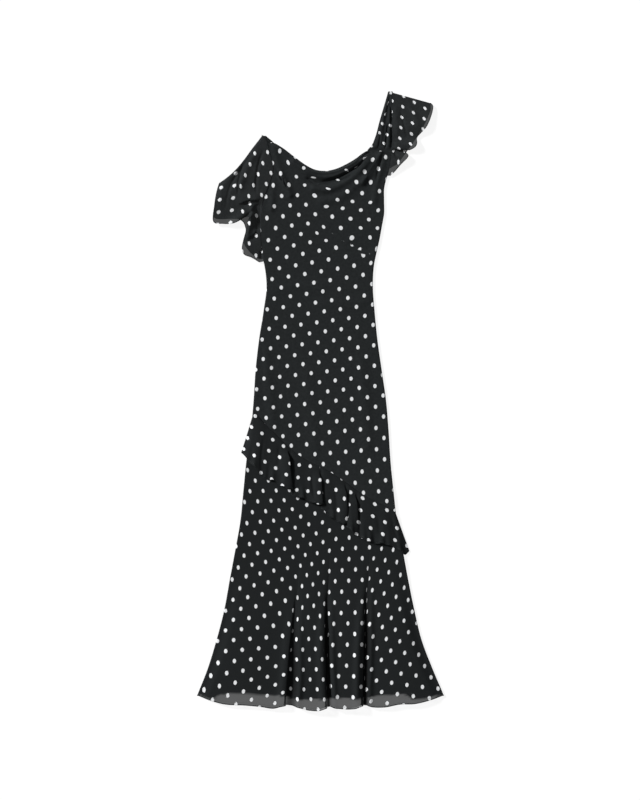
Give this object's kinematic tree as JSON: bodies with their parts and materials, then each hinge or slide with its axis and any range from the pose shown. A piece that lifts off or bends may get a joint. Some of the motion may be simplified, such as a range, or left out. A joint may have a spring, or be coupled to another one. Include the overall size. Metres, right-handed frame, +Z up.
{
  "type": "maxi dress",
  "caption": "Long spotted dress laid flat, with draped neckline, flutter sleeves, slanting frill and flared skirt.",
  "frame": {"origin": "on the surface the dress lies on, under the middle of its outline", "axes": "+Z up from the surface, +Y from the hem towards the shoulders, +X towards the right of the dress as seen from above"},
  "size_m": [0.5804, 1.4559, 0.018],
  "materials": {
    "spotted_crepe": "matt black crepe chiffon with small off-white spots",
    "lining": "plain black woven lining"
  },
  "bodies": {
    "root": {"front_panel": "spotted_crepe", "back_panel": "spotted_crepe", "skirt_front": "spotted_crepe", "skirt_back": "spotted_crepe", "lining_front": "lining", "lining_back": "lining", "frill_front": "spotted_crepe", "frill_back": "spotted_crepe", "strap_right": "spotted_crepe", "strap_left": "spotted_crepe", "flounce_right": "spotted_crepe", "flounce_left": "spotted_crepe"}
  },
  "joints": []
}
